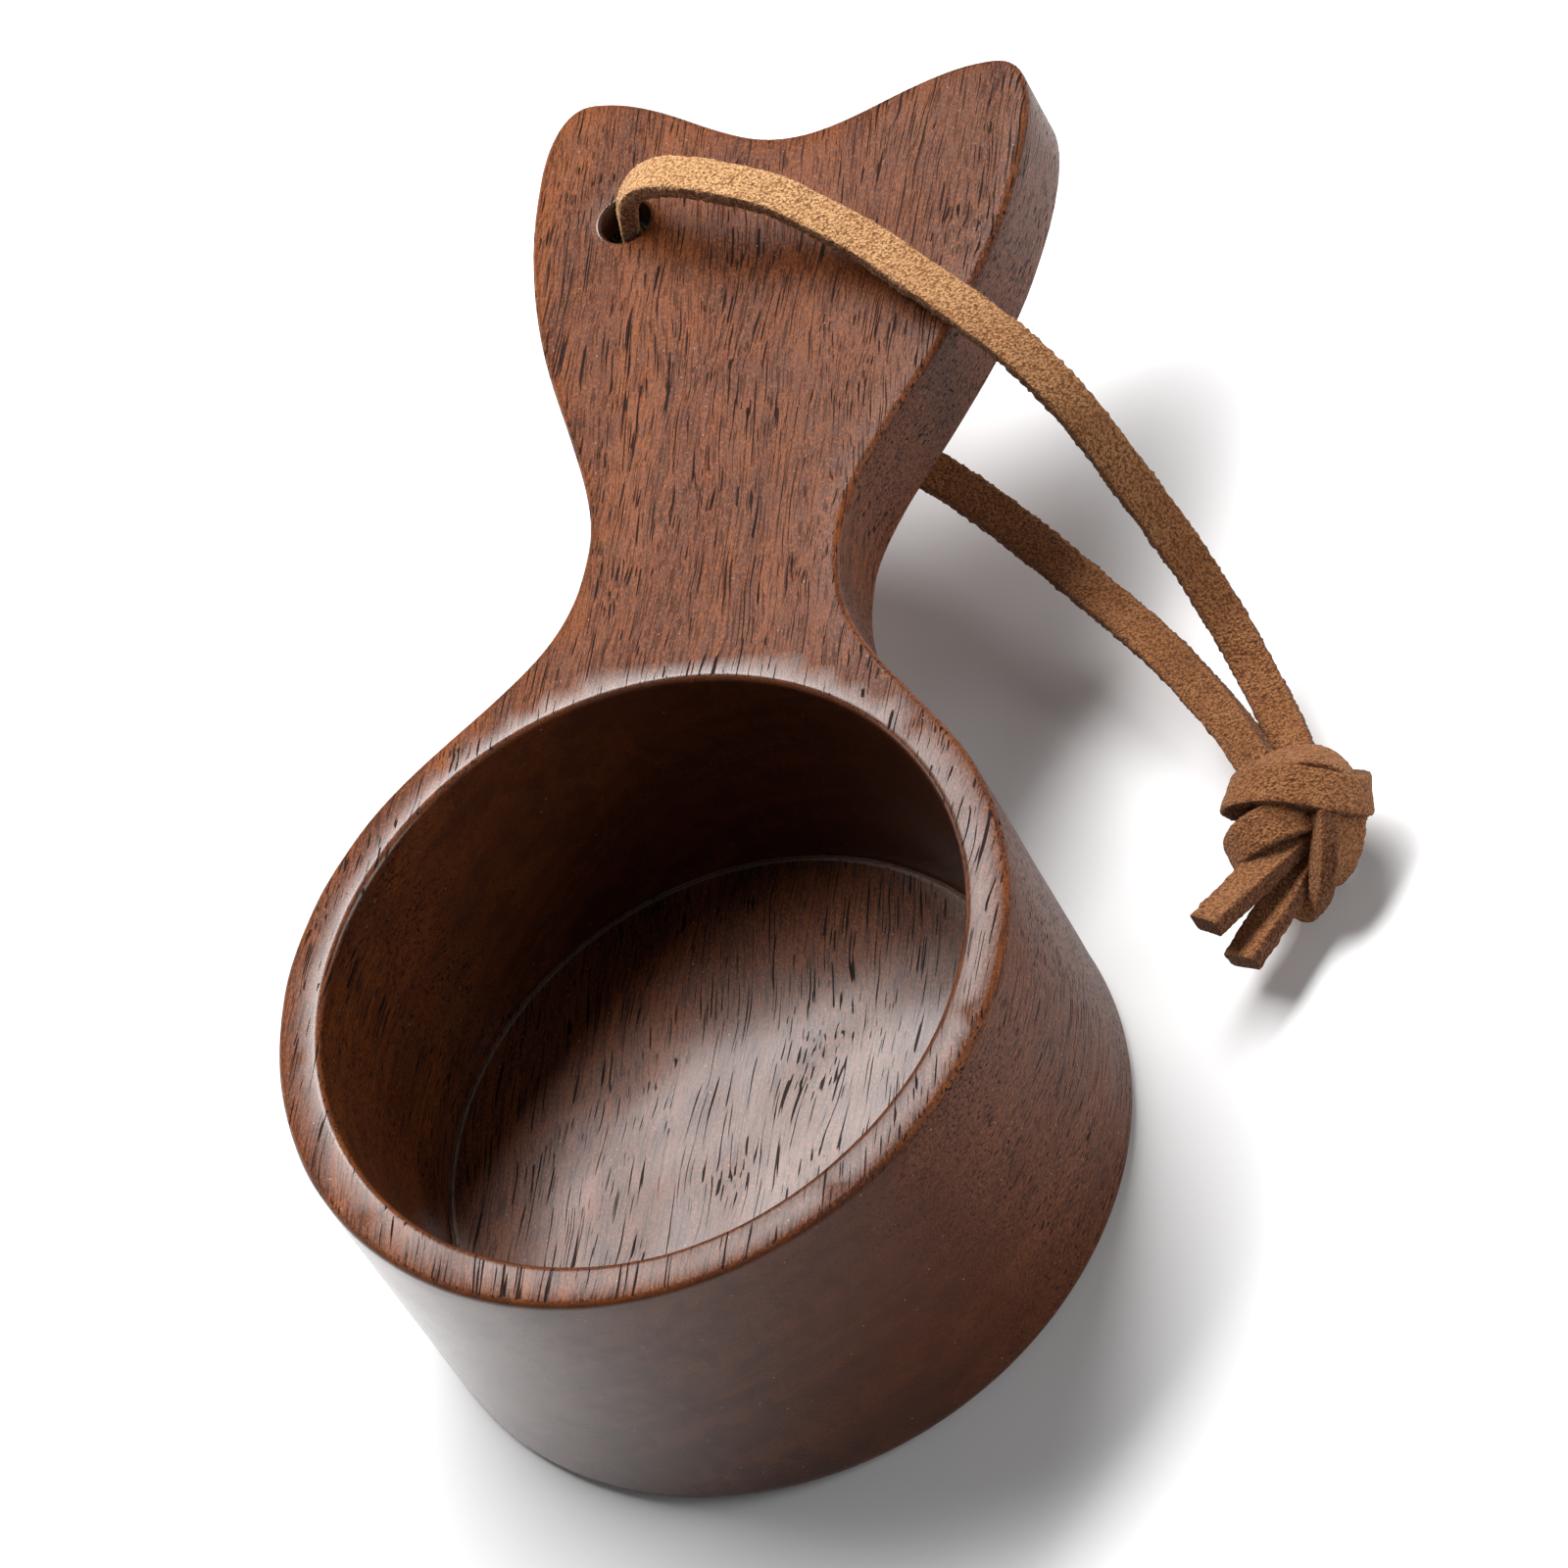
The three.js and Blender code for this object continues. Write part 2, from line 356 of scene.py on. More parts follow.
def laceSection():                     # (across, up, how much it is cut edge) round the strip
    half, thick, corner = lace["width"] / 2, lace["thickness"] / 2, lace["corner"]
    faceX = np.linspace(corner - half, half - corner, lace["faceSteps"])
    sideY = np.linspace(thick - corner, corner - thick, lace["edgeSteps"])
    bend = corner * (1 - math.sqrt(0.5))
    quarter = [(x, thick, 0.0) for x in faceX]
    quarter.append((half - bend, thick - bend, lace["cornerCut"]))
    quarter += [(half, y, 1.0) for y in sideY]
    quarter.append((half - bend, bend - thick, lace["cornerCut"]))
    other = [(-x, -y, cut) for x, y, cut in quarter]
    return np.array(quarter + other)


def joinRows(bm, lower, upper):        # faces between two closed rows of points
    for i in range(len(lower)):
        j = (i + 1) % len(lower)
        bm.faces.new((lower[i], lower[j], upper[j], upper[i]))


def ragged(point, shift, cut):         # how far the fuzz stands off the strip at a point
    point = Vector(point)
    slow = noise.noise(point * lace["waveScale"] + shift) * lace["slowWave"]
    fuzz = lace["napFuzz"] + (lace["edgeFuzz"] - lace["napFuzz"]) * cut
    fine = noise.noise(point * lace["fuzzScale"] + shift)
    fine += lace["fineFuzzShare"] * noise.noise(point * lace["fineFuzzScale"] + shift)
    return slow + fuzz * fine


def addMarked(bm, layers, spot, cut, rampedIn):
    cutLayer, shadeLayer = layers
    vert = bm.verts.new(spot)
    vert[cutLayer] = cut
    vert[shadeLayer] = float(rampedIn)
    return vert


def stripShell(bm, layers, line, across, seed, rampedIn=None):
    # one strip of lace along a line, shut at both ends, with fuzz on its faces and ragged edges
    section = laceSection()
    runs = runsOf(line)
    across = unit(across - runs * np.sum(across * runs, axis=1, keepdims=True))
    up = np.cross(across, runs)
    shift = Vector((seed * 7.3, seed * 3.1, seed * 5.7))    # each strip has its own fuzz
    # without a ramp the whole strip takes the painted shade
    rampedIn = np.ones(len(line)) if rampedIn is None else rampedIn
    rings = []
    for centre, side, over, dark in zip(line, across, up, rampedIn):
        ring = []
        for x, y, cut in section:
            point = centre + side * x + over * y
            out = side * math.copysign(cut, x) + over * math.copysign(1 - cut * lace["edgeCalm"], y)
            ring.append(addMarked(bm, layers, point + out * ragged(point, shift, cut), cut, dark))
        rings.append(ring)
    for ring, following in zip(rings, rings[1:]):
        joinRows(bm, ring, following)
    ends = ((rings[0], line[0], -runs[0], rampedIn[0]), (rings[-1], line[-1], runs[-1], rampedIn[-1]))
    for ring, centre, run, dark in ends:
        middle = Vector(centre)
        push = Vector(run) * lace["endBulge"]
        cap = []
        for vert in ring:
            spot = middle + (vert.co - middle) * lace["endInset"] + push
            cap.append(addMarked(bm, layers, spot, 1.0, dark))
        joinRows(bm, ring, cap)
        bm.faces.new(cap)


def finishedPiece(name, bm, material, body):
    sharpFrom = math.radians(42)
    bmesh.ops.recalc_face_normals(bm, faces=bm.faces)
    bmesh.ops.scale(bm, vec=(mm, mm, mm), verts=bm.verts)
    mesh = bpy.data.meshes.new(name)
    bm.to_mesh(mesh)
    bm.free()
    mesh.shade_smooth()
    mesh.set_sharp_from_angle(angle=sharpFrom)
    piece = bpy.data.objects.new(name, mesh)
    bpy.context.collection.objects.link(piece)
    mesh.materials.append(material)
    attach(piece, body)
    return piece


def startShape(*layers):
    bm = bmesh.new()
    for name in layers:
        bm.verts.layers.float.new(name)
    return bm, [bm.verts.layers.float[name] for name in layers]


def twisted(line, across, turn):       # rolls the last part of a run towards its edge
    share = np.clip((np.linspace(0, 1, len(line)) - lace["twistFrom"]) / (1 - lace["twistFrom"]), 0, 1)
    angle = (turn * share * share * (3 - 2 * share))[:, None]
    return across * np.cos(angle) + np.cross(across, runsOf(line)) * np.sin(angle)


def laceRun(name, route, node, seed, material, turn=0.0):
    line = smoothLine(route, lace["station"])
    bm, layers = startShape("cutEdge", "rampedIn")
    rampedIn = None
    # the painted shade comes in along the upper run; the other runs are shaded all along
    if node == "lace_upper_run":
        share = np.linspace(0, 1, len(line))
        rampedIn = np.clip((share - lace["paintedShadeFrom"]) / (lace["paintedShadeTo"] - lace["paintedShadeFrom"]), 0, 1)
    stripShell(bm, layers, line, twisted(line, levelAcross(line), turn), seed, rampedIn)
    piece = finishedPiece(name, bm, material, "lace")
    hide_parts(node)
    return piece, line


def knotToPart(rows):
    axes = np.array([knot["across"], knot["towardsLoop"], knot["outward"]])
    return np.array(rows) @ axes


def knotStrand(bm, layers, rows, seed):
    smooth = smoothLine(rows, lace["station"])
    smooth[:, 0] += knot["lean"] * np.minimum(smooth[:, 1] - knot["leanFrom"], 0)
    line = knotToPart(smooth[:, :3]) + np.array(knot["centre"])
    facing = knotToPart(smooth[:, 3:])
    across = unit(np.cross(runsOf(line), facing))
    stripShell(bm, layers, line, across, seed)


def restOnTable(bm):
    for vert in bm.verts:
        vert.co.z = max(vert.co.z, knot["tableGap"])


def laceKnot(material):
    bm, layers = startShape("cutEdge", "rampedIn")
    for seed, rows in enumerate(knotStrands.values(), start=10):
        knotStrand(bm, layers, rows, seed)
    core = bmesh.ops.create_uvsphere(bm, u_segments=32, v_segments=20, radius=1)["verts"]
    cutLayer, shadeLayer = layers
    for vert in core:                  # the turns inside, which fill the gaps; their dark colour is partly painted shade
        spot = np.array(vert.co) * knot["coreSize"] + np.array(knot["coreShift"])
        vert.co = knotToPart(spot) + np.array(knot["centre"])
        vert[cutLayer] = knot["coreCutAndShade"]
        # the core also takes the full painted shade of the tan
        vert[shadeLayer] = 1.0
    restOnTable(bm)
    piece = finishedPiece("laceKnot", bm, material, "lace")
    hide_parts("lace_knot")
    return piece


def laceEnd(name, rows, node, seed, material):
    bm, layers = startShape("cutEdge", "rampedIn")
    knotStrand(bm, layers, rows, seed)
    restOnTable(bm)
    piece = finishedPiece(name, bm, material, "lace")
    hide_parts(node)
    return piece


def suedeFinish():
    f = Finish("brushedSuede")
    place = f.place()
    cut = f.marked("cutEdge")
    patches = f.cloudy(f.scaled(place, allWays(lace["patchScale"])), 2)
    nap = f.cloudy(f.scaled(place, allWays(lace["napScale"])), 1, 0.5)
    fibre = f.cloudy(f.scaled(place, allWays(lace["fibreScale"])), 2, 0.7)
    grains = 0.78 - f.cells(f.scaled(place, allWays(lace["grainScale"]))) * 0.55
    grainy = nap * 0.35 + fibre * 0.3 + grains * 0.35
    face = f.mixed(f.ranged(grainy, 0.43, 0.57), lace["faceDark"], lace["faceLight"])
    face = f.mixed(0.15 + 0.3 * patches, face, lace["face"])
    face = f.mixed(f.ranged(grainy, 0.43, 0.35) * 0.75, face, lace["pit"])
    edge = f.mixed(f.ranged(grainy, 0.44, 0.64), lace["cut"], lace["cutLight"])
    edge = f.mixed(f.ranged(fibre, 0.46, 0.34) * 0.7, edge, lace["pit"])
    edgeShare = f.ranged(cut + (nap - 0.5) * 1.3, 0.35, 0.75)
    colour = f.mixed(edgeShare, face, edge)
    # painted shade: the tan darkens where the lace lies in shade
    colour = f.mixed(f.marked("rampedIn") * (0.8 + 0.4 * patches), colour, lace["paintedShadeTan"], "MULTIPLY")
    normal = f.bumped(grainy, 1.0, lace["napDepth"])
    return f.done(
        Base_Color=colour, Roughness=lace["roughness"], Specular_IOR_Level=lace["gloss"],
        Sheen_Weight=lace["sheen"], Sheen_Roughness=lace["sheenRoughness"],
        Sheen_Tint=lace["sheenTint"], Normal=normal,
    )


def declareCord(line):
    length = float(np.linalg.norm(np.diff(line, axis=0), axis=1).sum()) * mm
    return length


# The cup with its handle

cup = {
    "height": 39.0,
    "radius": 38.0,
    "baseRounding": 2.0,
    "mouthRadius": 33.4,
    "floorRadius": 32.4,
    "floorHeight": 8.2,
    "edgeRounding": 0.8,
    "handleThickness": 11.0,
    "neckHalfWidth": 13.7,
    "neckY": 50.5,
    "tailHalfWidth": 26.9,
    "tailWidestY": 98.5,
    "tailTip": (22.2, 108.0),
    "notchY": 100.8,
    "flankAngle": 41.25,
    "flankPull": 14,       # how far each curve of the outline runs on before it bends
    "neckPull": (12, 11.5),
    "tailPull": (24, 5),
    "tipPull": (3.6, 8.2),
    "notchPull": 7.5,
    "flankFade": 2.0,
    "hole": (-16.2, 92.0),
    "holeRadius": 2.75,
    "holeRounding": 0.45,
    "rimSteps": 190,       # how finely each stretch is divided
    "curveSteps": 28,
    "hiddenSteps": 60,
    "lowerEdgeSteps": 6,
    "plateSteps": 6,
    "upperEdgeSteps": 7,
    "wallSteps": 14,
    "footSteps": 8,
    "footRings": (0.85, 0.6, 0.3, 0.08),   # shares of the base's radius
    "holeRoundSteps": 40,
    "holeEdgeSteps": 5,
    "bowlRoundSteps": 220,
    "bowlWallSteps": 13,
    "bowlFloorSteps": 18,
    "faceGrid": 2.4,       # spacing of the points inside the flat faces
    "edgeClear": 0.6,      # share of that spacing kept free along the edges
    "handWork": 0.10,      # how far hand sanding leaves the surface uneven
    "slowHand": 0.055,
    "quickHand": 0.17,
    "flatFoot": (0.5, 4.5),    # heights where the unevenness comes in
    "grooveDepth": 0.25,
    "grooveWidth": 0.9,
    "wallFoot": 0.5,       # how far above the floor the wall's last row stands
    "floorMiddle": 1.2,
    "oilInside": 0.52,     # how much oil has built up on each side
    "oilRim": 0.02,
    "oilHandle": 0.04,
    "oilWall": 1.0,        # most on the side that the hand wraps round
    "oilHole": 1.4,
    "oilTopSpan": (-10, 50),   # along the cup, from the rim's share to the handle's
    "oilWallSpan": (30, -10),  # round the wall, from the dry side to the held side
    "oilOffWall": (2, 0.3),    # how far outside the wall it fades
    "oilBelowTop": 0.1,
}


def bezier(a, b, c, d, steps):
    t = np.linspace(0, 1, steps, endpoint=False)[:, None]
    a, b, c, d = (np.array(p, float) for p in (a, b, c, d))
    return a * (1 - t) ** 3 + 3 * b * t * (1 - t) ** 2 + 3 * c * t * t * (1 - t) + d * t ** 3


def handleLine():                      # from the right flank round the tail to the left flank
    angle = math.radians(cup["flankAngle"])
    flank = np.array([math.cos(angle), math.sin(angle)]) * cup["radius"]
    leaving = flank + np.array([-math.sin(angle), math.cos(angle)]) * cup["flankPull"]
    neckX, neckY = cup["neckHalfWidth"], cup["neckY"]
    wideX, wideY = cup["tailHalfWidth"], cup["tailWidestY"]
    tipX, tipY = cup["tailTip"]
    beforeNeck, afterNeck = cup["neckPull"]
    beforeWide, afterWide = cup["tailPull"]
    beforeTip, afterTip = cup["tipPull"]
    notchX, notchY = cup["notchPull"], cup["notchY"]
    steps = cup["curveSteps"]
    neck, wide, tip = (neckX, neckY), (wideX, wideY), (tipX, tipY)
    right = np.concatenate([
        bezier(flank, leaving, (neckX, neckY - beforeNeck), neck, steps),
        bezier(neck, (neckX, neckY + afterNeck), (wideX, wideY - beforeWide), wide, steps),
        bezier(wide, (wideX, wideY + afterWide), (tipX + beforeTip, tipY), tip, steps // 2),
        bezier(tip, (tipX - afterTip, tipY), (notchX, notchY), (0, notchY), steps),
    ])
    left = right[::-1] * (-1, 1)
    return np.concatenate([right, [(0, notchY)], left])


def ringPoints(radius, angles):
    return np.stack([np.cos(angles), np.sin(angles)], axis=1) * radius


def addRow(bm, flat, z):
    heights = np.broadcast_to(z, len(flat))
    return [bm.verts.new((x, y, h)) for (x, y), h in zip(flat, heights)]


def inside(point, loop):
    x, y = point
    hit = False
    for (ax, ay), (bx, by) in zip(loop, np.roll(loop, -1, axis=0)):
        if (ay > y) != (by > y) and x < (bx - ax) * (y - ay) / (by - ay) + ax:
            hit = not hit
    return hit


def fillFlat(bm, oilLayer, z, rims):   # the first rim is the outside, the others are holes
    loops = [np.array([v.co.xy for v in rim]) for rim in rims]
    verts = [v for rim in rims for v in rim]
    edges, start = [], 0
    for rim in rims:
        edges += [(start + i, start + (i + 1) % len(rim)) for i in range(len(rim))]
        start += len(rim)
    grid = cup["faceGrid"]
    low, high = loops[0].min(0), loops[0].max(0)
    edgePoints = np.concatenate(loops)
    rowGap = grid * 0.866              # rows of a grid of even triangles
    clearBy = grid * cup["edgeClear"]
    for row, y in enumerate(np.arange(low[1] + grid, high[1], rowGap)):
        for x in np.arange(low[0] + grid * (0.5 + 0.5 * (row % 2)), high[0], grid):
            clear = np.min(np.hypot(*(edgePoints - (x, y)).T)) > clearBy
            if clear and inside((x, y), loops[0]) and not any(inside((x, y), h) for h in loops[1:]):
                added = bm.verts.new((x, y, z))
                added[oilLayer] = oilByPlace(added.co)
                verts.append(added)
    flat = [v.co.xy for v in verts]
    points, _, faces, origins, _, _ = delaunay_2d_cdt(flat, edges, [], 0, 1e-6)
    for face in faces:
        middle = sum((Vector(points[i]) for i in face), Vector((0, 0))) / len(face)
        if inside(middle, loops[0]) and not any(inside(middle, h) for h in loops[1:]):
            corners = [verts[origins[i][0]] for i in face]
            if len(set(corners)) == 3:
                bm.faces.new(corners)


def roundedSteps(count):
    return np.linspace(0, math.pi / 2, count)


def shareOf(value, low, high):         # 0 at low, 1 at high
    return min(1.0, max(0.0, (value - low) / (high - low)))


def oilByPlace(spot):                  # the handle and the rim are the driest
    top = cup["oilRim"] + (cup["oilHandle"] - cup["oilRim"]) * shareOf(spot.y, *cup["oilTopSpan"])
    wall = cup["oilWall"] * shareOf(spot.x, *cup["oilWallSpan"])
    height, radius = cup["height"], cup["radius"]
    outer, inner = cup["oilOffWall"]
    onWall = shareOf(spot.z, height - cup["oilBelowTop"], height - cup["edgeRounding"])
    onWall *= shareOf(math.hypot(spot.x, spot.y), radius + outer, radius + inner)
    return top + (wall - top) * onWall


def joinedRows(bm, rows):              # rows of (points, height), each joined to the one before
    made = [addRow(bm, flat, z) for flat, z in rows]
    for row, following in zip(made, made[1:]):
        joinRows(bm, row, following)
    return made


def paint(rows, layer, value):
    for row in rows:
        for vert in row:
            vert[layer] = value


def plateRows(outline, inward, soft, bottom):    # lower rounding, side, upper rounding
    height, rounding = cup["height"], cup["edgeRounding"]
    rows = []
    for turn in roundedSteps(cup["lowerEdgeSteps"]):
        inset = rounding * (1 - math.sin(turn))
        z = bottom + rounding * (1 - math.cos(turn))
        rows.append((outline + inward * (inset * soft)[:, None], z))
    for z in np.linspace(bottom + rounding, height - rounding, cup["plateSteps"])[1:-1]:
        rows.append((outline, z))
    for turn in roundedSteps(cup["upperEdgeSteps"]):
        inset = rounding * (1 - math.cos(turn))
        rows.append((outline + inward * inset, height - rounding + rounding * math.sin(turn)))
    return rows


def wallAndFoot(bm, wallTop, circle, plateBottom):
    radius, base = cup["radius"], cup["baseRounding"]
    rows = [(circle, z) for z in np.linspace(plateBottom, base, cup["wallSteps"])[1:-1]]
    for turn in roundedSteps(cup["footSteps"]):
        share = (radius - base + base * math.cos(turn)) / radius
        rows.append((circle * share, base - base * math.sin(turn)))
    rows += [(circle * share, 0.0) for share in cup["footRings"]]
    above = wallTop
    for flat, z in rows:
        row = addRow(bm, flat, z)
        joinRows(bm, row, above)
        above = row
    bm.faces.new(above)


def hangingHole(bm, plateBottom):
    height, mouth, small = cup["height"], cup["holeRadius"], cup["holeRounding"]
    angles = np.linspace(0, 2 * math.pi, cup["holeRoundSteps"], endpoint=False)
    profile = []
    for turn in roundedSteps(cup["holeEdgeSteps"]):
        profile.append((mouth + small * (1 - math.sin(turn)), plateBottom + small * (1 - math.cos(turn))))
    straight = np.linspace(plateBottom + small, height - small, cup["plateSteps"])
    profile += [(mouth, z) for z in straight[1:-1]]
    for turn in roundedSteps(cup["holeEdgeSteps"]):
        profile.append((mouth + small * (1 - math.cos(turn)), height - small + small * math.sin(turn)))
    return joinedRows(bm, [(ringPoints(r, angles) + cup["hole"], z) for r, z in profile])


def bowlProfile():                     # (radius, height, how pale) from the mouth to the middle
    height, rounding = cup["height"], cup["edgeRounding"]
    mouthRadius, floorRadius, floorZ = cup["mouthRadius"], cup["floorRadius"], cup["floorHeight"]
    profile = []
    for turn in roundedSteps(cup["upperEdgeSteps"]):
        profile.append((mouthRadius + rounding * (1 - math.sin(turn)),
                        height - rounding + rounding * math.cos(turn), 0.0))
    for share in np.linspace(0, 1, cup["bowlWallSteps"])[1:-1]:
        wallZ = height - rounding + (floorZ + cup["wallFoot"] - height + rounding) * share
        profile.append((mouthRadius + (floorRadius - mouthRadius) * share, wallZ, 0.0))
    deep = cup["grooveDepth"]
    profile += [                       # the groove at the edge of the floor, and its pale lip, which is dust and a painted highlight
        (floorRadius, floorZ + 0.1, 0.0), (floorRadius - 0.04, floorZ - deep * 0.7, 0.0),
        (floorRadius - 0.2, floorZ - deep, 0.2), (floorRadius - 0.36, floorZ - deep * 0.5, 0.7),
        (floorRadius - 0.46, floorZ - 0.05, 1.0), (floorRadius - 0.62, floorZ + 0.02, 0.8),
        (floorRadius - cup["grooveWidth"], floorZ, 0.0),
    ]
    floor = np.linspace(floorRadius - cup["grooveWidth"], cup["floorMiddle"], cup["bowlFloorSteps"])
    return profile + [(r, floorZ, 0.0) for r in floor[1:]]


def bowl(bm, rimLayer):
    angles = np.linspace(0, 2 * math.pi, cup["bowlRoundSteps"], endpoint=False)
    profile = bowlProfile()
    rows = joinedRows(bm, [(ringPoints(r, angles), z) for r, z, _ in profile])
    for row, (_, _, pale) in zip(rows, profile):
        paint([row], rimLayer, pale)
    bm.faces.new(rows[-1])
    return rows


def cupShape():
    bm, (rubAndLightLayer, rimLayer, oilLayer, _) = startShape("edgeRubAndLight", "floorRim", "oil", "endGrain")
    height, radius = cup["height"], cup["radius"]
    plateBottom = height - cup["handleThickness"]
    flank = math.radians(cup["flankAngle"])
    rimAngles = np.linspace(math.pi - flank, 2 * math.pi + flank, cup["rimSteps"])
    hiddenAngles = np.linspace(flank, math.pi - flank, cup["hiddenSteps"])[1:-1]
    handle = handleLine()
    rimArc = ringPoints(radius, rimAngles)
    hiddenArc = ringPoints(radius, hiddenAngles)
    outline = np.concatenate([handle, rimArc[1:-1]])
    handleCount = len(handle)
    runs = np.roll(outline, -1, axis=0) - np.roll(outline, 1, axis=0)
    inward = unit(np.stack([-runs[:, 1], runs[:, 0]], axis=1))
    beyond = np.hypot(*outline.T) - radius
    soft = np.clip(beyond / cup["flankFade"], 0, 1)    # the lower rounding fades out at the flanks

    plate = joinedRows(bm, plateRows(outline, inward, soft, plateBottom))
    paint(plate[-5:-2], rubAndLightLayer, 1.0)     # the upper edge is rubbed by the hand; its lighter colour is wear and painted light
    for row in plate[1:5]:
        for vert, share in zip(row, soft):
            vert[rubAndLightLayer] = float(share)
    plateRim, topRim = plate[0], plate[-1]

    hidden = addRow(bm, hiddenArc, plateBottom)
    wallTop = [plateRim[handleCount - 1], *plateRim[handleCount:], plateRim[0], *hidden]
    wallAndFoot(bm, wallTop, np.concatenate([rimArc, hiddenArc]), plateBottom)
    holeRows = hangingHole(bm, plateBottom)
    bowlRows = bowl(bm, rimLayer)
    # the mouth's edge as well: wear and painted light
    paint(bowlRows[2:5], rubAndLightLayer, 1.0)

    for vert in bm.verts:
        vert[oilLayer] = oilByPlace(vert.co)
    paint(bowlRows, oilLayer, cup["oilInside"])
    paint(holeRows[1:-1], oilLayer, cup["oilHole"])

    fillFlat(bm, oilLayer, height, [topRim, bowlRows[0], holeRows[-1]])
    fillFlat(bm, oilLayer, plateBottom, [plateRim[:handleCount] + hidden[::-1], holeRows[0]])
    return bm


def sandByHand(bm):                    # slight unevenness, none on the base it stands on
    bm.normal_update()
    bmesh.ops.recalc_face_normals(bm, faces=bm.faces)
    amount = cup["handWork"]
    endLayer = bm.verts.layers.float["endGrain"]
    for vert in bm.verts:
        spot = vert.co
        vert[endLayer] = abs(vert.normal.y)
        slow = noise.noise(spot * cup["slowHand"] + Vector((3.1, 8.2, 1.7)))
        quick = noise.noise(spot * cup["quickHand"] + Vector((9.4, 2.2, 5.3)))
        rampedIn = shareOf(spot.z, *cup["flatFoot"])
        vert.co = spot + vert.normal * (slow + 0.5 * quick) * amount * rampedIn


walnut = {
    "brown": (0.135, 0.0340, 0.0085),
    "warm": (0.215, 0.0600, 0.0140),
    "dark": (0.055, 0.0150, 0.0065),
    "smoke": (0.052, 0.0200, 0.0130),
    "soaked": (0.028, 0.0095, 0.0060),     # where oil has darkened it
    "pore": (0.007, 0.0035, 0.0035),
    # lighter orange for sanding marks and worn edges; on the edges it is also painted light
    "rubbedAndLit": (0.26, 0.075, 0.016),
    # pale colour of dust specks, and of the painted highlight on the floor's lip
    "dustAndHighlight": (0.45, 0.34, 0.27),
    "pithX": 34.0,         # the tree's heart runs along the handle, beside and below the cup
    "pithZ": -62.0,
    "heartFrom": 2.0,      # the darker heartwood lies along the right side
    "heartTo": 24.0,
    "ringScale": 0.21,
    "scales": {            # how fine each pattern is across the grain, and along it
        "wander": (0.03, 0.016),
        "ripple": (0.14, 0.06),
        "streaks": (0.42, 0.018),
        "fibres": (3.4, 0.16),
        "hairs": (6.5, 1.1),
        "figure": (0.05, 0.12),
        "crowding": (0.3, 0.03),
        "longPores": (4.5, 0.10),
        "shortPores": (5.2, 0.26),
        "sand": (5.5, 2.6),
    },
    "wanderBy": (9, 0, 9),
    "rippleBy": (2.0, 0, 2.0),
    "speckScale": 0.52,
    "roughness": 0.36,
    "gloss": 0.09,
    "coatRoughness": 0.24,
    "coatIor": 1.6,
    "grainDepth": 0.00025,     # metres
}


def woodPattern(f, vector, name, detail, rough=0.5, out=0):
    across, along = walnut["scales"][name]
    return f.cloudy(f.scaled(vector, (across, along, across)), detail, rough, out)


